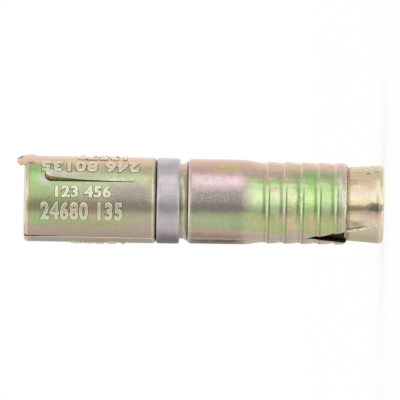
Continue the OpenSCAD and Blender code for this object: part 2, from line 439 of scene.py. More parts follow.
@dataclass
class Barb:
    """The lanced strip: cut along its lower edge, bent out most at its free end.

    Widths, the cut's direction, the lift and the laps round the sleeve are in degrees.
    """

    length: float = 9.8
    inset: float = 2.35
    cut: float = -64.5
    start_width: float = 17.5
    end_width: float = 4.0
    lift: float = 27.0
    slit: float = 0.07
    hinge_land: float = 1.5
    root_lap: float = 6.0
    end_lap: float = 0.3
    nose_round: float = 0.5
    rows: int = 72
    columns: int = 12
    skin: float = 0.004
    cut_faces: Pair = (95.0, 22.0)
    edge_r: float = 0.11

    @property
    def top_z(self) -> float:
        """Height of the free end."""
        return SIZES.mouth_z - self.inset

    def width(self, t: float) -> float:
        """Width in degrees at fraction t of the length from the free end."""
        return self.start_width + (self.end_width - self.start_width) * t

    def nose(self, share: float) -> float:
        """How far the rounded free end stays back at a share of the strip's width."""
        return self.nose_round * abs(2 * share - 1) ** 2.4

    def window(self) -> bpy.types.Object:
        """Cutter for the window that the strip was lanced from.

        Returns:
            The cutter.
        """
        middle = self.cut + self.start_width / 2
        slit_width = math.degrees(self.slit / SIZES.anchor_r)

        def across(direction: float) -> float:
            """Distance round the axis of a direction, from the window's middle."""
            return SIZES.anchor_r * math.sin(math.radians(direction - middle))

        low = self.top_z - self.length
        slit_edge = self.cut - slit_width
        outline = [(across(slit_edge), low), (across(self.cut + self.width(1)), low)]
        hinge_edge = self.cut + self.width(0) + self.hinge_land
        for share in spread(0, 1, self.columns):
            direction = hinge_edge + (slit_edge - hinge_edge) * share
            outline.append((across(direction), self.top_z + self.slit - self.nose(share)))
        return Bench.prism("window", outline, middle, SIZES.anchor_r / 2, SIZES.anchor_r * 2)

    def strip(self, bore_r: float) -> bpy.types.Object:
        """Makes the strip as a flat slab and bends it row by row about its hinge.

        Args:
            bore_r: Bore radius of the sleeve that the strip is part of.

        Returns:
            The new solid.
        """
        outer = SIZES.anchor_r - self.skin
        inner = bore_r + self.skin
        whole = 1 + self.end_lap / self.length

        def bent(flat: Vector) -> Vector:
            """Place of a vertex of the slab on the bent strip.

            Args:
                flat: Column, side and share of the length.

            Returns:
                The place.
            """
            t = flat.z * whole
            radius = outer if flat.y < 0.5 else inner
            hinge = self.cut + self.width(t)
            column = self.columns - flat.x
            share = max(0.0, column) / self.columns
            height = self.top_z - t * self.length - self.nose(share) * max(0.0, 1 - t) ** 8
            if column < 0:
                return polar(radius, hinge + self.root_lap, height)
            back = self.width(t) * share
            pivot = polar(SIZES.anchor_r, hinge, height)
            arm = polar(radius, hinge - back, height) - pivot
            turn = math.radians(self.lift * max(0.0, 1 - t))
            return pivot + Vector((arm.x * math.cos(turn) - arm.y * math.sin(turn),
                                   arm.x * math.sin(turn) + arm.y * math.cos(turn), 0))

        strip = Bench.slab("barb", self.columns + 1, self.rows, bent)
        Bench.soften(strip, self.edge_r, segments=4, angle=50)
        return strip

    def is_cut(self, middle: Vector, normal: Vector) -> bool:
        """Whether a face of the strip is its cut face, which looks down and outwards."""
        far, near = self.cut_faces
        return self.cut - far < bearing(normal) < self.cut - near and abs(normal.z) < 0.8


@dataclass
class Tongue:
    """The tab on the mouth's edge: raised at its root, dropped at its tip, one corner cut."""

    start: float = -35.0
    end: float = 10.0
    reach: float = 0.85
    root: float = 1.45
    rise: float = 0.14
    drop: float = 0.24
    thickness: float = 0.25
    corner_height: float = 0.4
    corner_width: float = 1.15
    root_from: float = 0.35
    tip_from: float = 0.2
    edge_r: float = 0.05
    steps: int = 36

    def tab(self) -> bpy.types.Object:
        """Makes the tab from a lathed section and trims its corner.

        Returns:
            The new solid.
        """
        outer = SIZES.anchor_r
        mouth = SIZES.mouth_z
        ramp = self.rise * 2
        outline = [(outer - self.thickness, mouth - self.root)]
        outline += [(outer - self.thickness * (1 - t) + self.rise * ease(t), mouth - self.root + ramp * t)
                    for t in spread(self.root_from, 1, 6)]
        outline += [(outer + self.rise - self.rise * ease(t), mouth - ramp + 2 * ramp * t)
                    for t in spread(0, 1, 8)]
        outline += [(outer - self.drop * ease(t), mouth + ramp + (self.reach - ramp) * t)
                    for t in spread(self.tip_from, 1, 6)]
        outline += [(outer - self.drop - self.thickness, mouth + self.reach),
                    (outer - self.thickness, mouth + ramp)]
        tab = Bench.lathe("tongue", outline, self.start, self.end - self.start, self.steps)
        middle = (self.start + self.end) / 2
        edge = outer * math.sin(math.radians(self.start - middle))
        top = mouth + self.reach
        slope = self.corner_height / self.corner_width
        corner = [(edge - PAST, top - self.corner_height - PAST * slope),
                  (edge + self.corner_width + PAST, top + PAST * slope), (edge - PAST, top + PAST * slope)]
        Bench.combine(tab, Bench.prism("corner", corner, middle, outer / 3, outer * 2), Join.CUT)
        Bench.soften(tab, self.edge_r, segments=2, angle=40)
        return tab


@dataclass(frozen=True)
class NumberRow:
    """A row of raised numbers: its text, where it starts along the axis, its directions and its turn."""

    text: str
    from_z: float
    to_z: float
    low: float
    high: float
    upside_down: bool = False
    stroke: float = 0.04
    weight: float = 0.012


NUMBER_ROWS = (
    NumberRow("123 456", 36.4, 30.2, -88.3, -71.0, weight=0.02),
    NumberRow("24680 135", 38.0, 28.9, -118.5, -93.0, weight=0.01),
    NumberRow("246 80135", 38.0, 27.1, -51.0, -31.0, True),
    NumberRow("13579", 34.0, 28.5, -24.0, -2.5, True),
    NumberRow("97531", 34.6, 28.6, 168.0, 190.0),
)


NUMBER_SLICES = 10


@dataclass
class ExtensionSleeve:
    """Upper sleeve of rolled sheet, with its seam, barb, tongue and raised numbers, and a dark sheet of
    painted shade round the numbers' feet.
    """

    sheet: float = 0.5
    edge_r: float = 0.42
    lip: float = 0.06
    cut_edge_r: float = 0.05
    mouth_gap: float = 0.24
    closing_length: float = 6.6
    seam_lift: float = 0.1
    seam_ramp: float = 7.0
    number_height: float = 0.16
    number_sink: float = 0.06
    number_depth: float = 0.02
    number_spacing: float = 1.12
    # The crease is a dark sheet of painted shade round the numbers' feet: how far it reaches past them and
    # how far it stands proud
    crease_width: float = 0.05
    crease_height: float = 0.012
    edge_steps: int = 10
    rows: int = 24
    barb: Barb = field(default_factory=Barb)
    tongue: Tongue = field(default_factory=Tongue)

    def tube(self) -> bpy.types.Object:
        """Spins the sheet's section from one side of the seam to the other and opens the seam's mouth.

        Returns:
            The new solid.
        """
        outer, inner = SIZES.anchor_r, SIZES.anchor_r - self.sheet
        low, high, r = SIZES.extension_z, SIZES.mouth_z, self.edge_r
        lip = self.lip
        outline = [(inner, low + lip), (inner + lip, low)]
        outline += arc((outer - r, low + r), r, -90, 0, self.edge_steps)
        outline += [(outer, z) for z in spread(low + r, high - r, self.rows)[1:-1]]
        outline += arc((outer - r, high - r), r, 0, 90, self.edge_steps)
        outline += [(inner + lip, high), (inner, high - lip)]
        outline += [(inner, z) for z in spread(high - lip, low + lip, self.rows)[1:-1]]
        tube = rolled("extension_sleeve_fine", outline, outer)
        closed = high - self.closing_length
        wedge = [(0.0, closed), (self.mouth_gap / 2, high + PAST), (-self.mouth_gap / 2, high + PAST)]
        Bench.combine(tube, Bench.prism("seam", wedge, SIZES.seam, outer / 2, outer * 2), Join.CUT)
        Bench.combine(tube, self.barb.window(), Join.CUT)
        Bench.soften(tube, self.cut_edge_r, segments=2, angle=60)
        Bench.reshape(tube, self.proud_edge)
        return tube

    def proud_edge(self, at: Vector) -> Vector:
        """Lifts the sheet's lower edge a little at the seam, where the two edges don't quite meet.

        Args:
            at: Place of a vertex.

        Returns:
            Its new place.
        """
        past = past_seam(at, SIZES.seam)
        if past < 0 or past > self.seam_ramp or at.xy.length < SIZES.anchor_r - self.edge_r / 2:
            return at
        lift = 1 + self.seam_lift / SIZES.anchor_r * (1 - ease(past / self.seam_ramp))
        return Vector((at.x * lift, at.y * lift, at.z))

    def number_row(self, row: NumberRow, crease: bool = False) -> bpy.types.Object:
        """Makes one row of raised numbers and wraps it on the sleeve.

        Args:
            row: The text and its place.
            crease: Makes the dark crease round the numbers' feet, a sheet of painted shade, not the numbers.

        Returns:
            The row as one mesh.
        """
        # The crease is a thin dark sheet of painted shade, a little wider than the numbers
        margin = self.crease_width if crease else 0.0
        Bench.deselect()
        bpy.ops.object.text_add()
        writing = bpy.context.object
        writing.data.body = row.text
        writing.data.size = 1.0
        writing.data.space_character = self.number_spacing
        writing.data.extrude = self.number_depth
        writing.data.bevel_depth = row.stroke + margin
        writing.data.bevel_resolution = 2
        writing.data.offset = row.weight
        writing.data.resolution_u = 6
        bpy.ops.object.convert(target="MESH")
        writing.name = ("crease_" if crease else "numbers_") + row.text.replace(" ", "_")
        bpy.ops.object.mode_set(mode="EDIT")
        bpy.ops.mesh.select_all(action="SELECT")
        bpy.ops.mesh.remove_doubles(threshold=WELD)
        bpy.ops.object.mode_set(mode="OBJECT")
        self.slice_rows(writing)
        places = [v.co for v in writing.data.vertices]
        left, right = min(p.x for p in places) + margin, max(p.x for p in places) - margin
        low, high = min(p.y for p in places) + margin, max(p.y for p in places) - margin
        bottom, top = min(p.z for p in places), max(p.z for p in places)
        proud = self.crease_height if crease else self.number_height

        def wrapped(flat: Vector) -> Vector:
            """Place of a flat letter's vertex on the sleeve.

            Args:
                flat: Place in the flat row.

            Returns:
                The place.
            """
            across = (flat.x - left) / (right - left)
            up = (flat.y - low) / (high - low)
            if row.upside_down:
                across, up = 1 - across, 1 - up
            rise = (flat.z - bottom) / (top - bottom)
            radius = SIZES.anchor_r - self.number_sink + (self.number_sink + proud) * rise
            direction = row.low + (row.high - row.low) * up
            return polar(radius, direction, row.from_z + (row.to_z - row.from_z) * across)

        Bench.reshape(writing, wrapped)
        Bench.pick(writing)
        bpy.ops.object.mode_set(mode="EDIT")
        Bench.close()
        return writing

    @staticmethod
    def slice_rows(writing: bpy.types.Object) -> None:
        """Cuts flat letters across into narrow rows, so that they can follow the round sleeve.

        Args:
            writing: The flat row, which is the active object.
        """
        heights = [v.co.y for v in writing.data.vertices]
        bpy.ops.object.mode_set(mode="EDIT")
        for y in spread(min(heights), max(heights), NUMBER_SLICES)[1:-1]:
            bpy.ops.mesh.select_all(action="SELECT")
            bpy.ops.mesh.bisect(plane_co=(0, y, 0), plane_no=(0, 1, 0))
        bpy.ops.object.mode_set(mode="OBJECT")

    def build(self) -> Piece:
        """Makes the tube, the barb, the tongue and the rows of numbers.

        Returns:
            The piece.
        """
        piece = Piece("extension sleeve", "extension_sleeve", "sleeve_zinc")
        piece.made.append(self.tube())
        piece.made.append(self.barb.strip(SIZES.anchor_r - self.sheet))
        piece.made.append(self.tongue.tab())
        # Each row comes twice: the raised numbers, and the crease of painted shade round their feet
        piece.made += [self.number_row(row, crease) for row in NUMBER_ROWS for crease in (False, True)]
        return piece


@dataclass
class CompressionRing:
    """Plastic ring with rounded edges."""

    bore_r: float = 4.225
    edge_r: float = 0.26
    inner_edge_r: float = 0.1
    edge_steps: int = 8

    def build(self) -> Piece:
        """Spins the ring's section.

        Returns:
            The piece.
        """
        low, high, outer = SIZES.ring_z, SIZES.extension_z, SIZES.anchor_r
        e, i = self.edge_r, self.inner_edge_r
        outline = arc((outer - e, low + e), e, -90, 0, self.edge_steps)
        outline += [(outer, z) for z in spread(low + e, high - e, 8)[1:-1]]
        outline += arc((outer - e, high - e), e, 0, 90, self.edge_steps)
        outline += arc((self.bore_r + i, high - i), i, 90, 180, 4)
        outline += arc((self.bore_r + i, low + i), i, 180, 270, 4)
        ring = Bench.lathe("compression_ring_fine", outline, 0.0, FULL_TURN, TURN_STEPS)
        return Piece("compression ring", "compression_ring", "ring_plastic", [ring])


@dataclass
class ExpansionSleeve:
    """Lower sleeve of rolled sheet: neck, shoulder, plain body, waist, ridges and V slots."""

    sheet: float = 0.35
    cut_edge_r: float = 0.08
    neck_r: float = 4.175
    body_r: float = 4.7
    valley_r: float = 4.41
    neck_hidden: float = 5.1
    shoulder: float = 0.97
    fold_from: float = 0.5
    fold_half: float = 0.08
    fold_depth: float = 0.09
    plain: float = 5.53
    waist: float = 2.67
    ridge_count: int = 5
    pitch: float = 1.9
    height: float = 0.135
    rise: float = 0.3
    top: float = 0.65
    fall: float = 0.85
    tilt: float = 0.24
    end_top: float = 0.38
    end_round: float = 0.75
    end_land: float = 0.06
    worn_length: float = 0.7
    worn_depth: float = 0.035
    wave_scale: float = 1.7
    chip_scale: float = 4.5
    chip_share: float = 0.18
    seam_ramp: float = 9.0
    seam_sink: float = 0.07
    seam_fade: float = 4.0

    @property
    def waist_from(self) -> float:
        """Distance of the waist from the shoulder's start."""
        return self.shoulder + self.plain

    @property
    def ridges_from(self) -> float:
        """Distance of the first ridge from the shoulder's start."""
        return self.waist_from + self.waist

    @property
    def end_from(self) -> float:
        """Distance at which the rounded end starts."""
        return self.ridges_from + (self.ridge_count - 1) * self.pitch + self.rise + self.end_top

    def outer_r(self, w: float) -> float:
        """Outer radius at distance w from the shoulder's start.

        Args:
            w: Distance from the shoulder's start, towards the nut.

        Returns:
            The radius.
        """
        if w < self.shoulder:
            fold = self.fold_depth * max(0.0, 1 - abs(w - self.fold_from) / self.fold_half)
            return self.neck_r + (self.body_r - self.neck_r) * ease(w / self.shoulder) - fold
        if w < self.ridges_from:
            return self.body_r - (self.body_r - self.valley_r) * ease((w - self.waist_from) / self.waist)
        if w > self.end_from:
            t = min(1.0, (w - self.end_from) / self.end_round)
            edge = SIZES.sleeve_end_bore_r + self.end_land
            return edge + (self.valley_r + self.height - edge) * math.sqrt(1 - t * t)
        ridge = min(self.ridge_count - 1, int((w - self.ridges_from) / self.pitch))
        s = w - self.ridges_from - ridge * self.pitch
        if s < self.rise:
            return self.valley_r + self.height * ease(s / self.rise)
        crest = 1 - self.tilt * min(1.0, (s - self.rise) / self.top)
        return self.valley_r + self.height * crest * (1 - ease((s - self.rise - self.top) / self.fall))

    def bore_r(self, w: float) -> float:
        """Bore radius at the same distance."""
        inner = self.outer_r(w) - self.sheet
        return inner if w < self.ridges_from else max(SIZES.sleeve_end_bore_r, inner)

    def stations(self) -> list[float]:
        """Distances at which the section has a point, closer where it curves.

        Returns:
            The distances, in order.
        """
        stops = spread(-self.neck_hidden, -0.05, 6) + spread(0, self.shoulder, 30)
        stops += spread(self.shoulder, self.waist_from, 12)[1:]
        stops += spread(self.waist_from, self.ridges_from, 16)[1:]
        for i in range(self.ridge_count):
            foot = self.ridges_from + i * self.pitch
            stops += [foot + s for s in spread(0, self.rise, 7)[1:]]
            if i < self.ridge_count - 1:
                stops += [foot + self.rise + s for s in spread(0, self.top, 3)[1:]]
                stops += [foot + self.rise + self.top + s for s in spread(0, self.fall, 7)[1:]]
                stops.append(foot + self.pitch)
        stops.append(self.end_from - self.end_top / 2)
        return stops + [self.end_from + self.end_round * math.sin(a) for a in spread(0, math.pi / 2, 12)]

    def build(self) -> Piece:
        """Spins the section, cuts the V slots and rounds the sheet's edges.

        Returns:
            The piece.
        """
        stops = self.stations()
        outline = [(self.outer_r(w), SIZES.shoulder_z - w) for w in stops]
        outline += [(self.bore_r(w), SIZES.shoulder_z - w) for w in reversed(stops[:-1:2] + stops[-1:])]
        sleeve = rolled("expansion_sleeve_fine", outline, self.body_r)
        for i in range(SIZES.slot_count):
            slot = slot_wedge(SIZES.slot_point_z, SIZES.nut_shown - PAST, SIZES.slot_direction(i))
            Bench.combine(sleeve, slot, Join.CUT)
        Bench.soften(sleeve, self.cut_edge_r, segments=2, angle=58)
        Bench.reshape(sleeve, self.worn)
        return Piece("expansion sleeve", "expansion_sleeve", "sleeve_zinc", [sleeve])

    def worn(self, at: Vector) -> Vector:
        """Makes the sheet's cut end uneven, and lets its lower edge sink a little at the seam.

        Args:
            at: Place of a vertex.

        Returns:
            Its new place.
        """
        low = 1 - ease((at.z - SIZES.nut_shown) / self.worn_length)
        wave = noise.noise(Vector((at.x, at.y, 0)) * self.wave_scale) * self.worn_depth * 2
        chip = noise.noise(Vector((at.x, at.y, 9)) * self.chip_scale) + self.chip_share
        chips = min(0.0, chip) * self.worn_depth * -4
        past = past_seam(at, SIZES.seam)
        turn = 1.0
        if 0 <= past <= self.seam_ramp and at.xy.length > self.neck_r and at.z > SIZES.slot_point_z:
            fade = ease((at.z - SIZES.slot_point_z) / self.seam_fade)
            turn -= self.seam_sink / self.body_r * (1 - ease(past / self.seam_ramp)) * fade
        return Vector((at.x * turn, at.y * turn, at.z + low * (wave + chips)))


@dataclass
class ConeNut:
    """Tapered nut with V-shaped keys and a quarter-inch coarse thread."""

    length: float = 9.2
    half_angle: float = 4.13
    seat_clearance: float = 0.02
    edge_r: float = 0.45
    top_lip: float = 0.12
    key_edge_r: float = 0.05
    key_play: float = 0.24
    touch_gap: float = 0.02
    key_proud: float = 0.008
    key_bore_wider: float = 0.2
    major_r: float = 3.175
    minor_r: float = 2.55
    pitch: float = 1.27
    root_share: float = 0.44
    crest_share: float = 0.07
    root_sunk: float = 0.1
    turn_steps: int = 64
    mouth_r: float = 3.3
    edge_steps: int = 10
    burr_width: float = 0.6
    burr_height: float = 0.42
    burr_rows: int = 110
    burr_columns: int = 5

    @property
    def end_r(self) -> float:
        """Radius that the cone has at the flat end."""
        seat = SIZES.sleeve_end_bore_r - self.seat_clearance
        return seat + SIZES.nut_shown * math.tan(math.radians(self.half_angle))

    def blank(self, name: str, top_r: float, bore_r: float, proud: float = 0.0) -> bpy.types.Object:
        """Spins a blank with a rounded edge at its flat end and a chamfered bore.

        Args:
            name: Name of the new object.
            top_r: Radius at its upper end.
            bore_r: Radius of its bore.
            proud: How far its round side stands out and its flat end stays back.

        Returns:
            The new solid.
        """
        chamfer = max(0.0, self.mouth_r - bore_r)
        e, lip, top_z = self.edge_r, self.top_lip, self.length
        outline = [(bore_r + chamfer, proud)]
        outline += arc((self.end_r + proud - e, e + proud), e, -90, 0, self.edge_steps)
        last_r = outline[-1][0]
        outline += [(last_r + (top_r - last_r) * t, e + (top_z - e) * t) for t in spread(0, 1, 16)[1:-1]]
        outline += [(top_r, top_z - lip), (top_r - lip, top_z), (bore_r + chamfer, top_z)]
        outline += [(bore_r, z) for z in (top_z - chamfer, chamfer)]
        return Bench.lathe(name, outline, 0.0, FULL_TURN, TURN_STEPS)

    def thread(self) -> bpy.types.Object:
        """Makes the thread as one ridge, screwed up the bore.

        Returns:
            The new solid.
        """
        half_root, half_crest = self.pitch * self.root_share, self.pitch * self.crest_share
        root_r = self.major_r + self.root_sunk
        section = [(root_r, -half_root), (self.minor_r, -half_crest)]
        section += [(self.minor_r, half_crest), (root_r, half_root)]
        chamfer = self.mouth_r - self.major_r
        low = chamfer + half_root
        ridge = Bench.chain("nut_thread", [polar(r, 0.0, z + low) for r, z in section])
        bpy.ops.mesh.edge_face_add()
        bpy.ops.object.mode_set(mode="OBJECT")
        turns = (self.length - 2 * chamfer - 2 * half_root) / self.pitch
        screw = ridge.modifiers.new("screw", "SCREW")
        screw.angle = math.radians(FULL_TURN * turns)
        screw.screw_offset = self.pitch * turns
        screw.steps = screw.render_steps = int(self.turn_steps * turns)
        Bench.pick(ridge)
        bpy.ops.object.modifier_apply(modifier=screw.name)
        bpy.ops.object.mode_set(mode="EDIT")
        bpy.ops.mesh.select_all(action="SELECT")
        bpy.ops.mesh.remove_doubles(threshold=WELD)
        bpy.ops.mesh.select_all(action="DESELECT")
        bpy.ops.mesh.select_non_manifold()
        bpy.ops.mesh.fill_holes(sides=0)
        Bench.close()
        return ridge

    def build(self) -> Piece:
        """Makes the cone, adds the keys and makes the thread.

        Returns:
            The piece.
        """
        tip_r = self.end_r - self.length * math.tan(math.radians(self.half_angle))
        nut = self.blank("cone_nut_fine", tip_r, self.major_r)
        shrink = self.key_play / 2 / math.sin(math.radians(SIZES.slot_half_angle))
        point_z = SIZES.slot_point_z - shrink
        turn = math.degrees(math.asin((self.key_play / 2 - self.touch_gap) / self.end_r))
        for i in range(SIZES.slot_count):
            key = self.blank("key", self.end_r, self.major_r + self.key_bore_wider, self.key_proud)
            Bench.combine(key, slot_wedge(point_z, -PAST, SIZES.slot_direction(i, turn)), Join.SHARE)
            Bench.combine(nut, key, Join.ADD)
        Bench.soften(nut, self.key_edge_r, segments=2, angle=30)
        made = [nut, self.thread()]
        made += [self.burr(f"key_burr_{i + 1}", SIZES.slot_direction(i, turn), point_z)
                 for i in range(SIZES.slot_count)]
        return Piece("cone nut", "cone_nut", "nut_zinc", made)

    def burr(self, name: str, direction: float, point_z: float) -> bpy.types.Object:
        """Makes the ragged burr that shearing left along a key's upper edge.

        Args:
            name: Name of the new object.
            direction: Direction of the key's middle, in degrees.
            point_z: Height of the key's point.

        Returns:
            The new solid.
        """
        slope = math.tan(math.radians(SIZES.slot_half_angle))
        low, high = self.edge_r * 0.3, SIZES.nut_shown - self.touch_gap

        def ragged(flat: Vector) -> Vector:
            """Place of a vertex of the slab on the burr.

            Args:
                flat: Column, side and share of the length.

            Returns:
                The place.
            """
            # One noise gives the burr its jags along the edge, a finer one its bumps
            height = low + (high - low) * flat.z
            jag = noise.noise(Vector((height * 3.1, 0.3, 7.7)))
            fine = noise.noise(Vector((height * 7.3, flat.x, 2.2)))
            edge = (point_z - height) * slope + 0.03 * jag
            share = flat.x / self.burr_columns
            across = edge - self.burr_width * (0.8 + 0.5 * jag) * (1 - share) * (1 - 0.6 * flat.z)
            steep = share / 0.6 if share < 0.6 else (1 - share) / 0.4
            bumps = 0.5 + 0.6 * jag + 0.8 * fine
            proud = self.burr_height * bumps * (0.15 + 0.85 * steep) * (1 - 0.5 * flat.z)
            rounded = max(0.0, self.edge_r - height)
            fall = self.edge_r - math.sqrt(max(0.0, self.edge_r ** 2 - rounded ** 2))
            radius = self.end_r - fall + (max(0.0, proud) if flat.y < 0.5 else -0.1)
            return polar(radius, direction + math.degrees(across / self.end_r), height)

        return Bench.slab(name, self.burr_columns, self.burr_rows, ragged)


# Materials

class Wire:
    """A node's output in a material, on which Python's operators add Math nodes."""

    def __init__(self, finish: "Shader", output: Any) -> None:
        """Keeps the material's shader and the output."""
        self.finish = finish
        self.output = output

    def join(self, operation: str, *others: Any) -> "Wire":
        """Adds a Math node of this output and others."""
        values = {0: self, **{i + 1: other for i, other in enumerate(others)}}
        return self.finish.node("ShaderNodeMath", {"operation": operation}, values)

    def __add__(self, other: Any) -> "Wire":
        """Sum."""
        return self.join("ADD", other)

    __radd__ = __add__

    def __sub__(self, other: Any) -> "Wire":
        """Difference."""
        return self.join("SUBTRACT", other)

    def __rsub__(self, other: Any) -> "Wire":
        """Difference, the other way round."""
        return self.finish.node("ShaderNodeMath", {"operation": "SUBTRACT"}, {0: other, 1: self})

    def __mul__(self, other: Any) -> "Wire":
        """Product."""
        return self.join("MULTIPLY", other)

    __rmul__ = __mul__

    def __truediv__(self, other: Any) -> "Wire":
        """Quotient."""
        return self.join("DIVIDE", other)

    def __abs__(self) -> "Wire":
        """Size without its sign."""
        return self.join("ABSOLUTE")

    def larger(self, other: Any) -> "Wire":
        """The larger of two values."""
        return self.join("MAXIMUM", other)

    def step(self, low: float, high: float) -> "Wire":
        """Smooth step from 0 at low to 1 at high, or the other way round where low is above high.

        Args:
            low: Value at which the step is 0.
            high: Value at which the step is 1.

        Returns:
            The step.
        """
        turned = low > high
        values = {"Value": self, "From Min": min(low, high), "From Max": max(low, high),
                  "To Min": 1.0 if turned else 0.0, "To Max": 0.0 if turned else 1.0}
        return self.finish.node("ShaderNodeMapRange", {"interpolation_type": "SMOOTHSTEP"}, values)


class Shader:
    """A material or a world under construction."""

    def __init__(self, block: Any) -> None:
        """Empties the node tree of a new material or world.

        Args:
            block: The material or world.
        """
        self.material = block
        self.material.use_nodes = True
        self.tree = self.material.node_tree
        self.tree.nodes.clear()

    def node(self, kind: str, settings: dict[str, Any] | None = None, inputs: dict[Any, Any] | None = None,
             output: Any = 0) -> Wire:
        """Adds a node.

        Args:
            kind: The node's type.
            settings: Its properties, set first. A ramp's stops are pairs of a position and a grey.
            inputs: Values or wires of its sockets, by name or number.
            output: Name or number of the output that is wanted.

        Returns:
            That output, or an empty one where the node has none.
        """
        made = self.tree.nodes.new(kind)
        for key, value in (settings or {}).items():
            if key == "stops":
                self.set_stops(made.color_ramp, value)
            else:
                setattr(made, key, value)
        for key, value in (inputs or {}).items():
            if isinstance(value, Wire):
                self.tree.links.new(value.output, made.inputs[key])
            else:
                made.inputs[key].default_value = value
        return Wire(self, made.outputs[output] if made.outputs else None)

    @staticmethod
    def set_stops(ramp: bpy.types.ColorRamp, stops: Sequence[Pair]) -> None:
        """Gives a ramp its stops.

        Args:
            ramp: The ramp, with two stops of its own.
            stops: Position and grey of each stop.
        """
        ramp.interpolation = "EASE"
        while len(ramp.elements) < len(stops):
            ramp.elements.new(1.0)
        for element, (position, grey) in zip(ramp.elements, stops):
            element.position = position
            element.color = (grey, grey, grey, 1.0)

    def place(self) -> Wire:
        """Object coordinates in millimetres."""
        coordinates = self.node("ShaderNodeTexCoord", output="Object")
        return self.node("ShaderNodeVectorMath", {"operation": "SCALE"}, {0: coordinates, "Scale": 1 / MM})

    def axes(self, place: Wire) -> tuple[Wire, Wire, Wire]:
        """The three coordinates of a place, one by one."""
        outputs = self.node("ShaderNodeSeparateXYZ", inputs={0: place}).output.node.outputs
        return Wire(self, outputs[0]), Wire(self, outputs[1]), Wire(self, outputs[2])

    def looked_at(self) -> Wire:
        """1 for what the camera or a reflection looks at, 0 for what only lights."""
        camera = self.node("ShaderNodeLightPath", output="Is Camera Ray")
        return camera.larger(self.node("ShaderNodeLightPath", output="Is Glossy Ray"))

    def noise(self, place: Wire, scale: float, detail: float = 3.0,
              stretch: Colour = (1.0, 1.0, 1.0)) -> Wire:
        """Noise from 0 to 1, with a scale for each millimetre."""
        mapped = self.node("ShaderNodeMapping", inputs={"Vector": place, "Scale": stretch})
        return self.node("ShaderNodeTexNoise", inputs={"Vector": mapped, "Scale": scale, "Detail": detail})

    def mix(self, amount: Any, first: Any, second: Any) -> Wire:
        """Blend of two colours, which Blender numbers as inputs 6 and 7 and output 2."""
        ends = [end if isinstance(end, Wire) else (*end, 1.0) for end in (first, second)]
        return self.node("ShaderNodeMix", {"data_type": "RGBA"}, {0: amount, 6: ends[0], 7: ends[1]}, 2)

    def close(self, colour: Wire, roughness: Any, height: Wire, metallic: float,
              specular: float = 0.5) -> bpy.types.Material:
        """Adds the surface shader and the output.

        Args:
            colour: Base colour.
            roughness: Roughness, as a value or a wire.
            height: Height of the relief, in millimetres.
            metallic: 1 for bare metal, 0 for plastic.
            specular: Specular level.

        Returns:
            The finished material.
        """
        normal = self.node("ShaderNodeBump", inputs={"Strength": 1.0, "Distance": MM, "Height": height})
        surface = self.node("ShaderNodeBsdfPrincipled", inputs={
            "Base Color": colour, "Roughness": roughness, "Normal": normal, "Metallic": metallic,
            "Specular IOR Level": specular})
        self.node_output(surface)
        return self.material

    def node_output(self, surface: Wire, kind: str = "ShaderNodeOutputMaterial") -> None:
        """Adds the output node."""
        self.node(kind, inputs={"Surface": surface})


def srgb(red: int, green: int, blue: int) -> Colour:
    """Linear colour of a screen colour given in steps from 0 to 255.

    Args:
        red: Red step.
        green: Green step.
        blue: Blue step.

    Returns:
        The linear colour.
    """
    def linear(value: int) -> float:
        """Linear value of one channel."""
        v = value / 255
        return v / 12.92 if v <= 0.04045 else ((v + 0.055) / 1.055) ** 2.4
    return linear(red), linear(green), linear(blue)


@dataclass(frozen=True)
class Tint:
    """A patch of colour in the plating, or of painted shade or highlight: its middle and half sizes along Z
    and X, in millimetres.

    A steady patch keeps straight edges, and a front one is only on the half with negative Y, which faces the
    camera. Painted glints mix bright specks into a patch.
    """

    colour: Colour
    z: float
    x: float
    half_z: float
    half_x: float
    soft: float = 0.3
    strength: float = 1.0
    # Share of painted glints: bright specks mixed into the patch, standing for glints off the plating's grain
    painted_glints: float = 0.0
    steady: bool = False
    front: bool = False


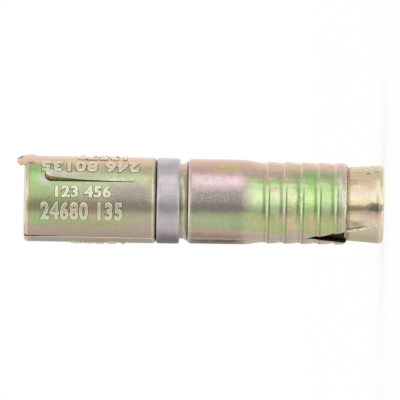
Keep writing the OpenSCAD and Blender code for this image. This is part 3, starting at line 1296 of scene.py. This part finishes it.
@dataclass(frozen=True)
class Zinc:
    """Yellow zinc plate: a base colour, patches of interference colour and of painted shade and highlight,
    painted glints, a fine grain and rough spots, and a mix towards one more colour, overall or beyond a
    radius, which gives wear, painted highlights and painted shade.
    """

    name: str
    base: Colour
    tints: tuple[Tint, ...]
    rough_spots: tuple[Tint, ...] = ()
    roughness: float = 0.15
    grain: float = 0.008
    wander: float = 0.9
    mottle: float = 0.2
    dirt: Colour = srgb(120, 108, 84)
    # Share of the finish mixed towards the colour below: wear and a painted highlight on the numbers, painted
    # shade at their feet
    worn: float = 0.0
    wear_and_light_colour: Colour = srgb(250, 242, 214)
    # Faces beyond this radius take that colour: a bright cut edge with a painted highlight
    rim_r: float = 0.0
    rim_soft: float = 0.03
    along_wander: float = 2.2
    across_wander: float = 1.4
    rough_spread: float = 0.07
    spot_relief: float = 0.12
    spot_stain: float = 0.5

    def mask(self, tint: Tint, along: Wire, across: Wire) -> Wire:
        """Mask of a patch, 1 in its middle and 0 outside it."""
        far = (abs(along - tint.z) / tint.half_z).larger(abs(across - tint.x) / tint.half_x)
        return far.step(1 + tint.soft, 1 - tint.soft) * tint.strength

    def make(self) -> bpy.types.Material:
        """Builds the material.

        Returns:
            The finished material.
        """
        shader = Shader(bpy.data.materials.new(self.name))
        place = shader.place()
        x, y, z = shader.axes(place)
        wave = shader.noise(place, scale=0.5, detail=3.0) - 0.5
        drift = shader.noise(place, scale=1.1, detail=3.0, stretch=(1.0, 1.0, 0.6)) - 0.5
        along = z + drift * self.wander * self.along_wander
        across = x + wave * self.wander * self.across_wander
        colour: Any = self.base
        # Painted glints: bright specks standing for glints off the grain, mixed in where a patch asks for
        # them
        glints = shader.noise(place, scale=5.2, detail=2.0).step(0.56, 0.68)
        for tint in self.tints:
            mask = self.mask(tint, z, x) if tint.steady else self.mask(tint, along, across)
            mask = mask * y.step(0.5, -0.5) if tint.front else mask
            colour = shader.mix(mask, colour, tint.colour)
            # Painted glints in this patch
            if tint.painted_glints:
                colour = shader.mix(mask * glints * tint.painted_glints, colour, GLINT)
        # Wear and painted light: the whole finish mixed towards one more colour
        if self.worn:
            colour = shader.mix(self.worn, colour, self.wear_and_light_colour)
        # Painted highlight by radius: a bright cut edge at the sheet's outer edge
        if self.rim_r:
            rim = (x * x + y * y).step((self.rim_r - self.rim_soft) ** 2, (self.rim_r + self.rim_soft) ** 2)
            colour = shader.mix(rim, colour, self.wear_and_light_colour)
        fine = shader.noise(place, scale=6.0, detail=4.0)
        cloudy = shader.noise(place, scale=1.6, detail=4.0)
        specks = shader.noise(place, scale=7.5, detail=2.0).step(0.6, 0.7)
        shade = (fine.step(0.35, 0.65) * 0.4 + cloudy.step(0.35, 0.65) * 0.4 + specks * 0.6) * self.mottle
        colour = shader.mix(shade, colour, self.dirt)
        rough: Any = 0.0
        for spot in self.rough_spots:
            rough = self.mask(spot, along, across) + rough
        roughness = cloudy.step(0.35, 0.75) * self.rough_spread + self.roughness
        height = fine * self.grain + shader.noise(place, scale=2.4, detail=2.0) * self.grain * 1.5
        if self.rough_spots:
            pits = shader.noise(place, scale=3.4, detail=5.0, stretch=(1.0, 1.0, 0.5))
            height = height + pits * rough * self.spot_relief
            stain = shader.noise(place, scale=4.0, detail=4.0).step(0.42, 0.62) * rough * self.spot_stain
            colour = shader.mix(stain, colour, self.dirt)
        return shader.close(colour, roughness, height, metallic=1.0)


WHITE = (1.0, 1.0, 1.0, 1.0)
GLINT = srgb(232, 222, 212)
BEIGE = srgb(212, 204, 172)
PEACH = srgb(242, 210, 184)
ROSE = srgb(236, 194, 182)
PALE_PINK = srgb(238, 214, 216)
LILAC = srgb(228, 218, 224)
GREEN = srgb(184, 208, 148)
VIVID = srgb(176, 224, 138)
BRIGHT_GREEN = srgb(224, 248, 188)
CREAM = srgb(244, 238, 196)
LEAF = srgb(198, 208, 148)
SAGE = srgb(200, 210, 168)
OLIVE = srgb(184, 182, 136)
DARK_REFLECTION_GREY = srgb(182, 170, 164)
TAN = srgb(222, 204, 184)
GOLD = srgb(232, 216, 150)
UMBER = srgb(92, 84, 60)
BROWN = srgb(88, 66, 48)

RIDGES = ExpansionSleeve()
RIDGE_FEET = tuple(SIZES.shoulder_z - RIDGES.ridges_from - RIDGES.pitch * i
                   for i in range(RIDGES.ridge_count))

# Painted shade and highlight along each ridge, dark in the valley and beside the crest and bright on the
# step: colour, height above its foot, middle and half sizes, softness and strength
RIDGE_SHADE_AND_HIGHLIGHT_LINES = (
    (UMBER, 0.2, 0.3, 0.16, 1.7, 0.8, 0.55),
    (UMBER, -0.4, 0.1, 0.09, 1.6, 0.7, 0.6),
    (srgb(176, 140, 104), -0.36, -3.0, 0.05, 1.7, 0.5, 0.6),
    (srgb(255, 244, 218), -0.13, 3.2, 0.06, 1.5, 0.6, 0.55),
)

# Patches on both sleeves, plating colours and painted shade and highlights: colour, middle along Z and X,
# half sizes, softness, strength and painted glints
SLEEVE_TINTS_AND_PAINTED_LIGHT = (
    Tint(PEACH, 20.0, 4.7, 30.0, 1.1, 0.25),
    Tint(TAN, 20.0, -4.2, 30.0, 1.3, 0.3),
    Tint(ROSE, 37.6, -3.7, 2.4, 0.6, 0.4, 0.5),
    Tint(VIVID, 38.3, 2.4, 2.1, 1.2, 0.35, 0.8),
    Tint(GREEN, 36.9, 0.6, 3.0, 1.7, 0.4, 0.9),
    Tint(SAGE, 33.0, 1.6, 3.4, 1.2, 0.4, 0.9),
    Tint(OLIVE, 38.2, -0.8, 1.3, 0.9, 0.4, 0.8),
    Tint(LEAF, 33.4, -2.0, 4.9, 1.0, 0.35, 0.8),
    Tint(VIVID, 38.0, -2.2, 0.8, 0.7, 0.5, 0.6),
    Tint(LILAC, 37.7, 1.9, 0.5, 0.5, 0.6, 0.7),
    Tint(PEACH, 31.8, -1.6, 1.0, 0.5, 0.3, 0.5),
    # Speckled grey plating where the camera's dark side reflects: partly a painted dark reflection
    Tint(DARK_REFLECTION_GREY, 28.0, 0.3, 2.1, 1.4, 0.5, 0.8, 0.45),
    Tint(SAGE, 28.4, 2.4, 2.6, 0.6, 0.5, 0.8),
    Tint(GOLD, 34.6, 4.2, 1.5, 0.5, 0.5, 0.5),
    Tint(GREEN, 22.5, 1.2, 0.3, 2.4, 0.3, 0.7),
    Tint(ROSE, 18.5, 3.7, 3.9, 0.9, 0.3, 0.9),
    Tint(PALE_PINK, 18.3, 1.9, 3.5, 1.2, 0.3),
    # Speckled grey plating where the camera's dark side reflects: partly a painted dark reflection
    Tint(DARK_REFLECTION_GREY, 18.2, 0.1, 3.3, 1.4, 0.4, 1.0, 0.5),
    Tint(GOLD, 17.3, 3.75, 1.5, 0.5, 0.5, 0.7),
    Tint(SAGE, 18.6, -2.1, 3.2, 0.9, 0.35, 0.9),
    Tint(GREEN, 15.9, -2.2, 1.1, 0.9, 0.4, 0.8),
    Tint(ROSE, 17.4, -3.6, 3.4, 0.45, 0.4, 0.8),
    # Green plating of the ridged part, made bright as a painted reflection
    Tint(BRIGHT_GREEN, 9.3, 0.6, 5.6, 2.1, 0.12),
    Tint(GREEN, 9.3, 2.7, 5.4, 0.6, 0.35, 0.85),
    Tint(LEAF, 9.9, -2.3, 5.0, 1.2, 0.25),
    Tint(VIVID, 8.1, 2.1, 0.6, 0.9, 0.6, 0.8),
    Tint(VIVID, 9.5, 0.6, 0.2, 1.5, 0.6, 0.7),
    Tint(VIVID, 6.4, 0.9, 0.5, 1.0, 0.7, 0.5),
    Tint(CREAM, 12.0, 0.9, 0.5, 0.5, 0.5, 0.8),
    Tint(CREAM, 10.2, 0.4, 0.4, 1.0, 0.6, 0.7),
    Tint(PEACH, 12.2, 1.5, 0.35, 0.3, 0.4, 0.8),
    Tint(PALE_PINK, 4.7, 1.2, 0.35, 2.6, 0.5, 0.7),
    Tint(TAN, 11.2, -1.4, 0.4, 0.7, 0.5, 0.8),
    Tint(PEACH, 10.2, -2.2, 0.5, 0.8, 0.5, 0.7),
    Tint(ROSE, 7.9, -1.8, 0.25, 1.0, 0.4, 0.8),
    Tint(TAN, 12.6, -3.9, 3.2, 0.5, 0.6, 0.6),
    Tint(srgb(232, 196, 184), 12.9, 3.05, 2.6, 0.4, 0.4, 0.8),
    Tint(srgb(208, 176, 150), 33.6, -0.9, 2.2, 0.8, 0.4, 0.7),
    # Painted shade on the body's underside by the seam, on the camera side, in this line and the next
    Tint(srgb(150, 116, 98), 18.4, -4.1, 3.2, 0.5, 0.6, 0.4, front=True),
    Tint(BROWN, 18.7, -4.7, 2.6, 0.4, 0.4, 0.75, front=True),
    # Painted highlight along the seam's upper edge, on the camera side
    Tint(srgb(240, 222, 202), 18.8, -4.12, 3.2, 0.05, 0.6, 0.8, steady=True, front=True),
    Tint(srgb(250, 206, 220), 16.9, 2.3, 1.1, 0.35, 0.6, 0.45),
    # Painted highlight along the seam's proud lip, on the camera side
    Tint(srgb(244, 228, 212), 31.0, -4.2, 5.6, 0.06, 0.6, 0.8, steady=True, front=True),
    # Painted shade in the fold of the shoulder
    Tint(BROWN, 21.76, 0.0, 0.07, 9.0, 0.4, 0.85, steady=True),
    # Painted highlight on the mouth's rounded edge, and a darker line where the rounding starts
    Tint(srgb(248, 228, 210), 39.64, -0.2, 0.28, 4.6, 0.4, 0.85, steady=True),
    Tint(srgb(196, 170, 134), 39.24, -0.2, 0.06, 4.4, 0.5, 0.6, steady=True),
    # Painted shade along the tongue's top, in this line and the next
    Tint(BROWN, 40.45, 4.5, 0.28, 0.12, 0.4, 0.9, steady=True),
    Tint(BROWN, 40.12, 4.66, 0.22, 0.12, 0.4, 0.85, steady=True),
    # Painted highlight along the shoulder's edge
    Tint(srgb(252, 246, 230), 21.54, 0.4, 0.06, 2.8, 0.6, 0.7, steady=True),
    # Painted highlight where the lower end's rounding starts, and painted shade on the rounding below it
    Tint(srgb(252, 246, 228), 25.62, 0.2, 0.06, 3.0, 0.6, 0.7, steady=True),
    Tint(BROWN, 25.3, 0.0, 0.12, 9.0, 0.4, 0.7, steady=True),
    Tint(srgb(216, 250, 164), 7.9, 0.2, 0.8, 1.5, 0.5, 0.8),
    Tint(srgb(150, 140, 104), 22.5, -0.2, 0.14, 2.2, 0.5, 0.7, 0.5, steady=True),
) + tuple(Tint(colour, foot + above, *rest, steady=True)
          for colour, above, *rest in RIDGE_SHADE_AND_HIGHLIGHT_LINES for foot in RIDGE_FEET)

SLEEVE_ZINC = Zinc("sleeve_zinc_finish", BEIGE, SLEEVE_TINTS_AND_PAINTED_LIGHT)
# Numbers: the finish mixed far towards a pale colour, for wear on the raised faces and a painted highlight
NUMBER_WEAR_AND_HIGHLIGHT_ZINC = Zinc("number_zinc_finish", BEIGE, SLEEVE_TINTS_AND_PAINTED_LIGHT, worn=0.68, mottle=0.1, wear_and_light_colour=srgb(255, 250, 226))
BARB_ZINC = Zinc("barb_zinc_finish", BEIGE, SLEEVE_TINTS_AND_PAINTED_LIGHT + (
    # Painted highlight: the lifted strip made pale as if lit
    Tint(srgb(252, 250, 226), 33.9, 3.2, 4.2, 2.4, 0.5, 0.7),
    Tint(srgb(226, 244, 206), 31.0, 3.0, 1.6, 1.6, 0.6, 0.5),
    # Painted highlight on the barb's nose
    Tint(srgb(255, 246, 230), 36.7, 3.2, 0.9, 1.6, 0.4, 0.8),
    Tint(srgb(168, 154, 132), 36.4, 3.4, 0.6, 1.0, 0.5, 0.3, 0.9)), mottle=0.3)
# Painted shade: the barb's cut face made dark olive, as it faces down and outwards
CUT_FACE_SHADE_ZINC = Zinc("cut_zinc_finish", srgb(150, 152, 100), (
    Tint(srgb(196, 150, 130), 37.2, 2.0, 0.5, 1.2, 0.6, 0.7),), mottle=0.3)
# Seam edges: a dark brown joint, and beyond the rim radius a pale lip that is a painted highlight
SEAM_ZINC = Zinc("seam_zinc_finish", srgb(140, 122, 98), (Tint(UMBER, 38.3, -4.2, 2.0, 9.0, 0.3),),
                 roughness=0.35, rim_r=4.76)
END_ZINC = Zinc("end_zinc_finish", srgb(206, 176, 156), (), roughness=0.3, mottle=0.3)
# Painted shade for the slot flanks and for the nut under the sleeve, with a pale rim at the sheet's outer
# edge: a bright cut edge with a painted highlight
SHADE_ZINC = Zinc("shade_zinc_finish", srgb(58, 46, 28), (), roughness=0.6, rim_r=4.44,
                  wear_and_light_colour=srgb(252, 232, 220))
# Painted shade round the numbers' feet: the finish mixed far towards a dark colour
CREASE_SHADE_ZINC = Zinc("crease_zinc_finish", BEIGE, SLEEVE_TINTS_AND_PAINTED_LIGHT, worn=0.78, wear_and_light_colour=srgb(66, 58, 34),
                   roughness=0.3)
NUT_ZINC = Zinc("nut_zinc_finish", srgb(254, 240, 198), (
    Tint(srgb(240, 216, 180), 2.4, 3.3, 2.4, 0.5, 0.4, 0.7),
    # Painted dark reflection band below the upper highlight
    Tint(srgb(204, 180, 140), 2.6, 2.3, 2.0, 0.35, 0.6, 0.8),
    # Painted dark reflection of the camera's side
    Tint(srgb(168, 148, 114), 2.2, -0.4, 2.4, 0.38, 0.5, 0.8),
    # Painted shadow of the key's burr
    Tint(srgb(146, 130, 88), 3.0, -2.15, 1.0, 0.3, 0.7, 0.75),
    Tint(PEACH, 2.4, 2.0, 1.4, 0.6, 0.4, 0.5),
    Tint(srgb(250, 214, 200), 1.2, -1.5, 1.3, 0.5, 0.5, 0.8),
    Tint(srgb(250, 228, 226), 2.2, 1.2, 1.5, 0.35, 0.5, 0.7),
    Tint(srgb(206, 214, 208), 0.65, 3.4, 0.3, 0.4, 0.4, 0.8),
    Tint(srgb(120, 116, 100), 1.0, -0.35, 0.7, 0.5, 0.5, 0.8, 0.6),
    Tint(srgb(240, 222, 190), 2.4, -3.2, 2.2, 1.0, 0.4, 0.7),
    Tint(BROWN, 1.74, 3.38, 0.17, 0.06, 0.4, 0.8, steady=True),
    # Painted highlight just above the rounded edge of the flat end
    Tint(srgb(255, 250, 232), 0.5, 0.4, 0.09, 3.2, 0.7, 0.5, steady=True),
    # Painted shadow of the sleeve's end on the nut
    Tint(srgb(150, 128, 92), 4.0, 0.0, 0.22, 9.0, 0.9, 0.7, steady=True),
), (
    Tint(BEIGE, 2.1, 4.1, 2.2, 0.5, 0.3, 0.8),
    Tint(BEIGE, 3.3, 2.0, 0.4, 0.5, 0.5, 0.35),
), roughness=0.14, grain=0.004, mottle=0.12, dirt=srgb(150, 130, 92))

BURR_ZINC = Zinc("burr_zinc_finish", srgb(255, 246, 240), (), roughness=0.4, mottle=0.35, grain=0.02,
                 dirt=srgb(110, 88, 70))


@dataclass(frozen=True)
class TurnedPlastic:
    """Glossy lilac plastic with a metallic sheen, fine turned lines round it, small specks, and painted shade
    on its camera side towards -X.
    """

    name: str = "ring_plastic_finish"
    base: Colour = srgb(219, 209, 208)
    cool: Colour = srgb(203, 196, 206)
    # Colour of the painted shade on the camera side towards -X
    edge: Colour = srgb(112, 96, 88)
    speck: Colour = srgb(112, 104, 112)
    roughness: float = 0.18
    metal: float = 0.85
    specular: float = 0.6

    def make(self) -> bpy.types.Material:
        """Builds the material.

        Returns:
            The finished material.
        """
        shader = Shader(bpy.data.materials.new(self.name))
        place = shader.place()
        x, y, _ = shader.axes(place)
        lines = shader.noise(place, scale=1.0, detail=4.0, stretch=(0.05, 0.05, 7.0))
        cloudy = shader.noise(place, scale=0.5, detail=3.0)
        specks = shader.noise(place, scale=4.6, detail=2.0).step(0.68, 0.74)
        colour = shader.mix(cloudy.step(0.4, 0.65), self.base, self.cool)
        colour = shader.mix(lines.step(0.45, 0.7) * 0.08, colour, self.speck)
        colour = shader.mix(specks * 0.5, colour, self.speck)
        # Painted shade: darker towards -X on the half that faces the camera
        colour = shader.mix(x.step(-2.9, -4.8) * y.step(0.5, -0.5) * 0.9, colour, self.edge)
        height = lines * 0.005 + shader.noise(place, scale=5.0, detail=3.0) * 0.005
        return shader.close(colour, self.roughness, height, self.metal, self.specular)


# Studio

# Brightness of the tent by direction round the axis: at the camera's height, and above and below it
GAP_LEVELS: tuple[Pair, ...] = (
    (-180, 0.46), (-124, 0.48), (-95, 0.51), (-74, 0.58), (-56, 0.66), (-40, 0.62), (-30, 0.36), (-12, 0.33),
    (4, 0.5), (20, 0.68), (36, 0.98), (50, 1.1), (62, 1.12), (78, 0.8), (98, 0.68), (126, 0.88), (160, 0.96),
    (180, 0.6))
END_LEVELS: tuple[Pair, ...] = (
    (-180, 0.64), (-124, 0.68), (-88, 0.78), (-54, 0.82), (-36, 0.74), (-24, 0.5), (-12, 0.6), (-3, 0.86),
    (6, 1.02), (18, 1.1), (32, 1.02), (46, 0.82), (62, 0.68), (80, 0.64), (100, 0.72), (130, 0.84),
    (160, 1.0), (180, 0.7))


class Studio:
    """Floor, backdrop, lamp, tent and camera. Lengths without a unit in their name are in metres."""

    PIXELS = 400.0
    PIXELS_PER_MM = 9.0
    NUT_END_PIXEL = 383.2
    AXIS_BELOW_MIDDLE = 1.35
    ROLL = 1.02
    DISTANCE = 0.9
    NEAREST = 0.01
    SENSOR = 36.0
    TENT_R = 0.8
    TENT_HEIGHT = TENT_R * 2.4
    BRIGHTEST = 1.2
    GAP_Z = 0.034
    GAP_CORE = 0.03
    GAP_EDGE = 0.055
    FLOOR_R = 0.6
    FLOOR_GREY = 0.85
    FLOOR_GLOW = 0.4
    WORLD_LEVEL = 0.7
    LIT_Z = 0.02
    KEY_ANGLE = 62.0
    KEY_DISTANCE = 0.35
    KEY_SIZE = (0.16, 0.3)
    KEY_POWER = 0.02

    def camera(self) -> None:
        """Looks square at the anchor's side, long lens, rolled so that the mouth is on the left."""
        data = bpy.data.cameras.new("camera")
        eye = bpy.data.objects.new("camera", data)
        bpy.context.scene.collection.objects.link(eye)
        data.sensor_width = self.SENSOR
        data.lens = self.SENSOR * self.DISTANCE / (self.PIXELS / self.PIXELS_PER_MM * MM)
        data.clip_start = self.NEAREST
        middle_z = (self.NUT_END_PIXEL - self.PIXELS / 2) / self.PIXELS_PER_MM * MM
        middle_x = self.AXIS_BELOW_MIDDLE / self.PIXELS_PER_MM * MM
        roll = math.radians(self.ROLL)
        to_nut, to_top = Vector((0, 0, -1)), Vector((1, 0, 0))
        right = to_nut * math.cos(roll) + to_top * math.sin(roll)
        up = to_top * math.cos(roll) - to_nut * math.sin(roll)
        back = right.cross(up)
        aim = Vector((middle_x, 0, middle_z))
        eye.matrix_world = self.placed(right, up, back, aim + back * self.DISTANCE)
        bpy.context.scene.camera = eye

    @staticmethod
    def placed(right: Vector, up: Vector, back: Vector, at: Vector) -> Matrix:
        """Matrix of an object with these axes at this place."""
        turn = Matrix((right, up, back)).transposed().to_4x4()
        return Matrix.Translation(at) @ turn

    def lamp(self, name: str, angle: float, along: float, distance: float, size: Pair, power: float) -> None:
        """Adds a soft lamp that points at the anchor's middle.

        Args:
            name: Name of the lamp.
            angle: Its direction round the anchor, in degrees from the camera's towards +X.
            along: Its height above the anchor's middle, in metres.
            distance: Its distance from the axis, in metres.
            size: Its width and height, in metres.
            power: Its power in watts.
        """
        data = bpy.data.lights.new(name, "AREA")
        data.shape = "RECTANGLE"
        data.size, data.size_y = size
        data.energy = power
        lamp = bpy.data.objects.new(name, data)
        bpy.context.scene.collection.objects.link(lamp)
        middle = Vector((0, 0, self.LIT_Z))
        at = middle + polar(distance, angle - FULL_TURN / 4, along)
        lamp.location = at
        lamp.rotation_mode = "QUATERNION"
        lamp.rotation_quaternion = (at - middle).to_track_quat("Z", "Y")

    def tent(self) -> None:
        """Puts a soft white tent round the anchor, with the darker gap that the camera looks through.

        Only reflections show it. Its brightness goes by the direction round the axis, and above and
        below the gap it is bright there too.
        """
        Bench.deselect()
        bpy.ops.mesh.primitive_cylinder_add(vertices=180, radius=self.TENT_R, depth=self.TENT_HEIGHT,
                                            end_fill_type="NOTHING", location=(0, 0, self.GAP_Z))
        tent = bpy.context.object
        tent.name = "tent"
        bpy.ops.object.transform_apply(location=True, rotation=True, scale=True)
        shader = Shader(bpy.data.materials.new("tent_finish"))
        x, y, z = shader.axes(shader.node("ShaderNodeTexCoord", output="Object"))
        turn = shader.node("ShaderNodeMath", {"operation": "ARCTAN2"}, {0: x, 1: y * -1.0})
        share = turn / (2 * math.pi) + 0.5
        past_gap = abs(z - self.GAP_Z).step(self.GAP_CORE, self.GAP_EDGE)
        gap = self.ramp(shader, share, GAP_LEVELS)
        ends = self.ramp(shader, share, END_LEVELS)
        light = shader.node("ShaderNodeEmission", inputs={"Color": shader.mix(past_gap, gap, ends),
                                                          "Strength": self.BRIGHTEST})
        shader.node_output(light)
        tent.data.materials.append(shader.material)
        tent.visible_camera = False
        tent.visible_diffuse = False
        tent.visible_shadow = False

    def ramp(self, shader: Shader, share: Wire, levels: Sequence[Pair]) -> Wire:
        """Brightness by direction.

        Args:
            shader: Material that the ramp is part of.
            share: Direction, from 0 at -180 degrees to 1 at 180 degrees.
            levels: Directions in degrees and the brightness there.

        Returns:
            The brightness as a grey, as a share of the brightest level.
        """
        stops = [(direction / FULL_TURN + 0.5, level / self.BRIGHTEST) for direction, level in levels]
        return shader.node("ShaderNodeValToRGB", {"stops": stops}, {0: share})

    def floor(self) -> None:
        """Adds the pale floor, which looks white and keeps the anchor's shadow."""
        Bench.deselect()
        bpy.ops.mesh.primitive_circle_add(vertices=96, radius=self.FLOOR_R, fill_type="NGON")
        floor = bpy.context.object
        floor.name = "floor"
        shader = Shader(bpy.data.materials.new("floor_finish"))
        grey = self.FLOOR_GREY
        matt = shader.node("ShaderNodeBsdfDiffuse", inputs={"Color": (grey, grey, grey, 1.0)})
        glow = shader.node("ShaderNodeEmission", inputs={"Color": WHITE,
                                                         "Strength": shader.looked_at() * self.FLOOR_GLOW})
        both = shader.node("ShaderNodeAddShader", inputs={0: matt, 1: glow})
        shader.node_output(both)
        floor.data.materials.append(shader.material)
        floor.visible_glossy = False

    def world(self) -> None:
        """Lights the anchor evenly from all round, with white behind it."""
        world = bpy.data.worlds.new("studio")
        bpy.context.scene.world = world
        shader = Shader(world)
        strength = shader.node("ShaderNodeMapRange", inputs={
            "Value": shader.looked_at(), "To Min": self.WORLD_LEVEL, "To Max": 1.0})
        light = shader.node("ShaderNodeBackground", inputs={"Color": WHITE, "Strength": strength})
        shader.node_output(light, "ShaderNodeOutputWorld")

    def build(self) -> None:
        """Sets up the whole studio."""
        self.world()
        self.floor()
        self.camera()
        self.tent()
        self.lamp("key_lamp", self.KEY_ANGLE, 0.0, self.KEY_DISTANCE, self.KEY_SIZE, self.KEY_POWER)
        bpy.context.scene.view_settings.view_transform = "Standard"


# Faces with a finish of their own

# Angle from the seam within which faces belong to it, in degrees
SEAM_REACH = 2.5
# How far a face may look along the axis and still count as a flank, as a cosine
LEAN_UP = 0.5
# How far above the nut's shown part the sleeve's cut end and the nut's hidden part are told apart
END_ABOVE = 0.2
HIDDEN_ABOVE = 0.15


def looks_round(middle: Vector, normal: Vector, lean: float) -> bool:
    """Whether a face looks round the axis, and hardly outwards or along it.

    Args:
        middle: The face's middle.
        normal: Its normal.
        lean: How far the normal may lean outwards, as a cosine.

    Returns:
        Whether it does.
    """
    out = Vector((middle.x, middle.y, 0)).normalized()
    return abs(normal.dot(out)) < lean and abs(normal.z) < LEAN_UP


def in_seam(middle: Vector, normal: Vector) -> bool:
    """Whether a face is one of the two edges of the sheet that meet at the seam."""
    return abs(past_seam(middle, SIZES.seam)) < SEAM_REACH and looks_round(middle, normal, 0.6)


def in_slot(middle: Vector, normal: Vector) -> bool:
    """Whether a face is a flank of one of the sleeve's slots."""
    return middle.z < SIZES.slot_point_z and looks_round(middle, normal, 0.25)


def at_end(middle: Vector, normal: Vector) -> bool:
    """Whether a face is part of the expansion sleeve's cut end."""
    return middle.z < SIZES.nut_shown + END_ABOVE and normal.z < -0.7


def under_sleeve(middle: Vector, normal: Vector) -> bool:
    """Whether a face of the nut lies under the sleeve, beside the keys."""
    return middle.z > SIZES.nut_shown + HIDDEN_ABOVE and middle.xy.length < SIZES.sleeve_end_bore_r


def main() -> None:
    """Loads the frame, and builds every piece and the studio."""
    logging.basicConfig(level=logging.INFO)
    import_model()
    sleeve_zinc = SLEEVE_ZINC.make()
    extension = ExtensionSleeve()
    upper = extension.build()
    upper.hand_over(sleeve_zinc, numbers=NUMBER_WEAR_AND_HIGHLIGHT_ZINC.make(), crease=CREASE_SHADE_ZINC.make(), barb=BARB_ZINC.make())
    cut_face_shade_zinc = CUT_FACE_SHADE_ZINC.make()
    seam_zinc = SEAM_ZINC.make()
    Bench.dress_faces(upper.made[1], cut_face_shade_zinc, extension.barb.is_cut)
    Bench.dress_faces(upper.made[0], seam_zinc, in_seam)
    CompressionRing().build().hand_over(TurnedPlastic().make())
    lower = ExpansionSleeve().build()
    lower.hand_over(sleeve_zinc)
    Bench.dress_faces(lower.made[0], seam_zinc, in_seam)
    shade_zinc = SHADE_ZINC.make()
    Bench.dress_faces(lower.made[0], shade_zinc, in_slot)
    Bench.dress_faces(lower.made[0], END_ZINC.make(), at_end)
    nut = ConeNut().build()
    nut.hand_over(NUT_ZINC.make(), key=BURR_ZINC.make())
    Bench.dress_faces(nut.made[0], shade_zinc, under_sleeve)
    Studio().build()


if __name__ == "__main__":
    main()
